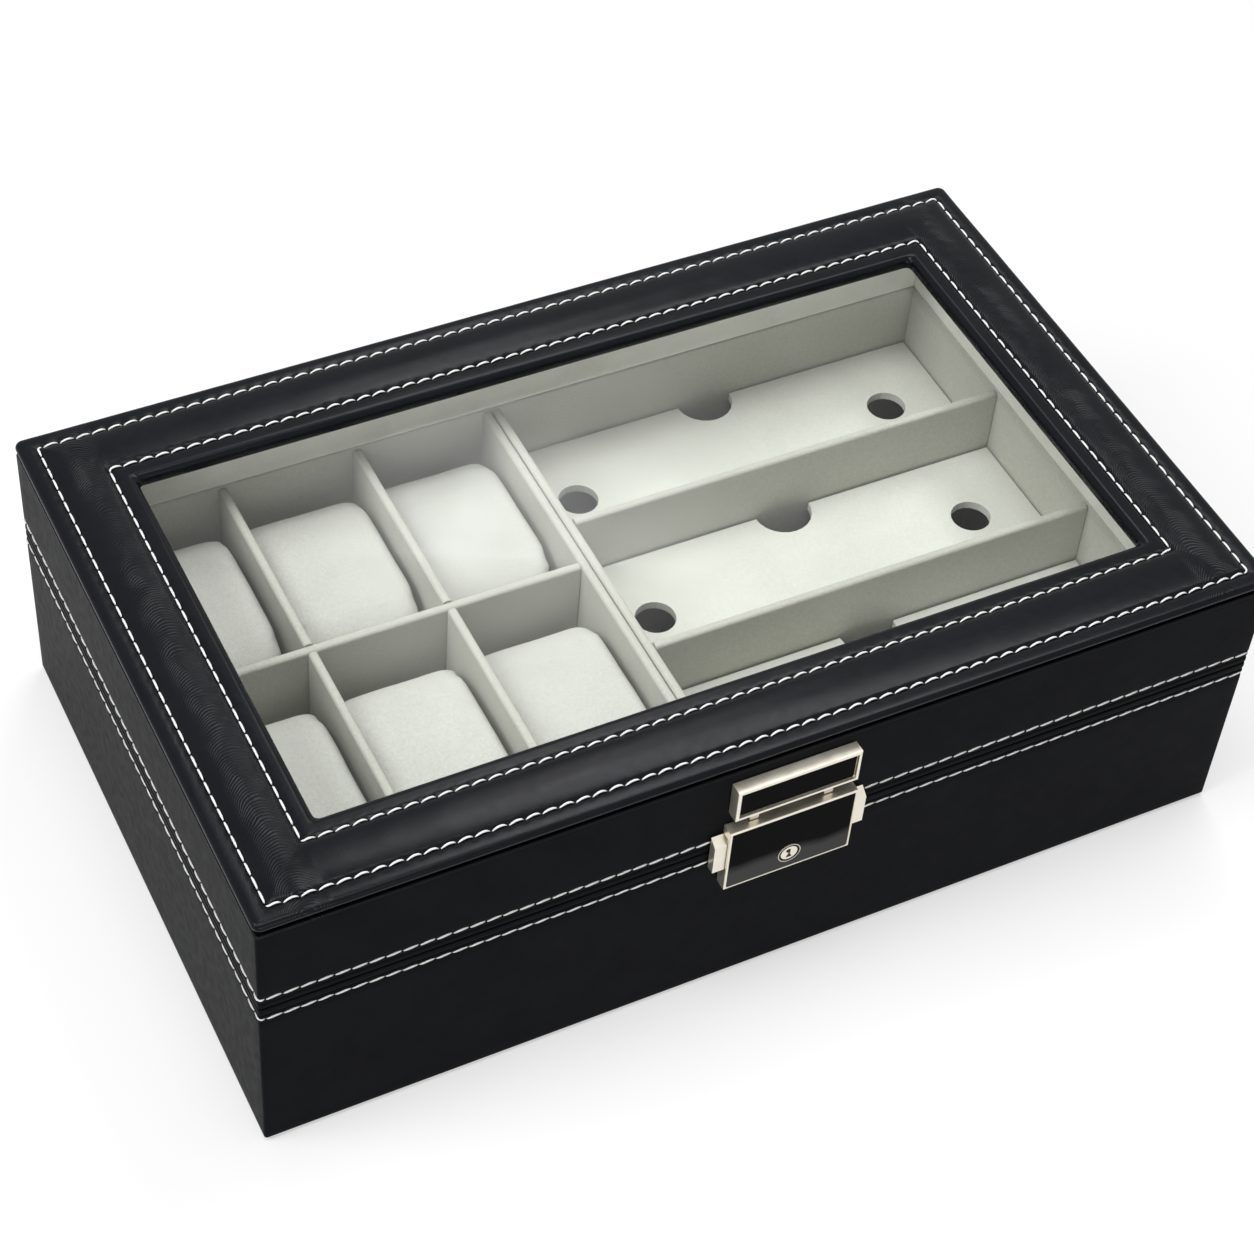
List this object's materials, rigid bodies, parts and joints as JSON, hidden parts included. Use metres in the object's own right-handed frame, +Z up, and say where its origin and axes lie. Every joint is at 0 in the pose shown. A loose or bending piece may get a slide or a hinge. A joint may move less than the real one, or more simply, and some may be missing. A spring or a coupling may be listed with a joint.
{
  "type": "watch and glasses box",
  "caption": "Black leather storage box with a padded glass-topped hinged lid, watch pillows in slots, glasses slots with lift-out trays, and a front lock with side buttons.",
  "frame": {"origin": "middle of the box's underside", "axes": "+Z up, -Y towards the front with the lock, +X to the right, where the glasses slots are"},
  "size_m": [0.3356, 0.2138, 0.1069],
  "materials": {
    "black_leather": "black synthetic leather with a fine wrinkled grain",
    "wall_board": "bare fibreboard",
    "suede": "light grey-beige suede",
    "suede_board": "fibreboard wrapped in light grey-beige suede",
    "felt": "black felt",
    "glass": "clear polished",
    "nickel": "polished champagne nickel",
    "steel": "plated",
    "thread": "white sewing thread",
    "dark_mirror": "polished black nickel"
  },
  "bodies": {
    "case": {"base_felt": "felt", "base_board": "wall_board", "floor_lining": "suede", "base_leather": "black_leather", "base_wall_front": "wall_board", "base_wall_back": "wall_board", "base_wall_left": "wall_board", "base_wall_right": "wall_board", "collar_front": "suede_board", "collar_back": "suede_board", "collar_left": "suede_board", "collar_right": "suede_board", "watch_divider_left": "suede_board", "watch_divider_right": "suede_board", "cross_divider": "suede_board", "partition_watch_side": "suede_board", "partition_glasses_side": "suede_board", "glasses_divider_back": "suede_board", "glasses_divider_front": "suede_board", "tray_support_left": "suede_board", "tray_support_right": "suede_board", "lock_housing": "nickel", "cylinder_sleeve": "nickel", "housing_screw_left": "steel", "housing_screw_right": "steel", "button_spring_left": "steel", "button_spring_right": "steel", "hinge_base_leaf_left": "steel", "hinge_base_leaf_right": "steel", "hinge_pin_left": "steel", "hinge_pin_right": "steel"},
    "lid": {"lid_wall_front": "wall_board", "lid_wall_back": "wall_board", "lid_wall_left": "wall_board", "lid_wall_right": "wall_board", "lid_liner_front": "suede_board", "lid_liner_back": "suede_board", "lid_liner_left": "suede_board", "lid_liner_right": "suede_board", "lid_leather": "black_leather", "frame_board": "wall_board", "padded_frame": "black_leather", "glass": "glass", "lock_strike": "nickel", "strike_screw_left": "steel", "strike_screw_right": "steel", "hinge_lid_leaf_left": "steel", "hinge_lid_leaf_right": "steel"},
    "left_button": {"button_left": "nickel"},
    "right_button": {"button_right": "nickel"},
    "key_plug": {"key_plug": "nickel"},
    "pillow_back_1": {"pillow_back_1": "suede"},
    "pillow_back_2": {"pillow_back_2": "suede"},
    "pillow_back_3": {"pillow_back_3": "suede"},
    "pillow_front_1": {"pillow_front_1": "suede"},
    "pillow_front_2": {"pillow_front_2": "suede"},
    "pillow_front_3": {"pillow_front_3": "suede"},
    "tray_front": {"tray_front": "suede_board"},
    "tray_middle": {"tray_middle": "suede_board"},
    "tray_back": {"tray_back": "suede_board"}
  },
  "joints": [
    {"name": "lid_hinge", "type": "hinge", "parent": "case", "child": "lid", "pos_m": [0, 0.1047, 0.067], "axis": [-1, 0, 0], "range_deg": [0, 95]},
    {"name": "left_button_press", "type": "slide", "parent": "case", "child": "left_button", "axis": [1, 0, 0], "range_m": [0, 0.0025], "stiffness_N_per_m": 150, "springref_m": -0.003, "deforming": ["button_spring_left"]},
    {"name": "right_button_press", "type": "slide", "parent": "case", "child": "right_button", "axis": [-1, 0, 0], "range_m": [0, 0.0025], "stiffness_N_per_m": 150, "springref_m": -0.003, "deforming": ["button_spring_right"]},
    {"name": "key_turn", "type": "hinge", "parent": "case", "child": "key_plug", "pos_m": [0, -0.1066, 0.0595], "axis": [0, 1, 0], "range_deg": [0, 90]},
    {"name": "pillow_back_1_lift", "type": "slide", "parent": "case", "child": "pillow_back_1", "axis": [0, 0, 1], "range_m": [0, 0.0286]},
    {"name": "pillow_back_2_lift", "type": "slide", "parent": "case", "child": "pillow_back_2", "axis": [0, 0, 1], "range_m": [0, 0.0286]},
    {"name": "pillow_back_3_lift", "type": "slide", "parent": "case", "child": "pillow_back_3", "axis": [0, 0, 1], "range_m": [0, 0.0286]},
    {"name": "pillow_front_1_lift", "type": "slide", "parent": "case", "child": "pillow_front_1", "axis": [0, 0, 1], "range_m": [0, 0.0286]},
    {"name": "pillow_front_2_lift", "type": "slide", "parent": "case", "child": "pillow_front_2", "axis": [0, 0, 1], "range_m": [0, 0.0286]},
    {"name": "pillow_front_3_lift", "type": "slide", "parent": "case", "child": "pillow_front_3", "axis": [0, 0, 1], "range_m": [0, 0.0286]},
    {"name": "tray_front_lift", "type": "slide", "parent": "case", "child": "tray_front", "axis": [0, 0, 1], "range_m": [0, 0.044]},
    {"name": "tray_middle_lift", "type": "slide", "parent": "case", "child": "tray_middle", "axis": [0, 0, 1], "range_m": [0, 0.044]},
    {"name": "tray_back_lift", "type": "slide", "parent": "case", "child": "tray_back", "axis": [0, 0, 1], "range_m": [0, 0.044]}
  ]
}
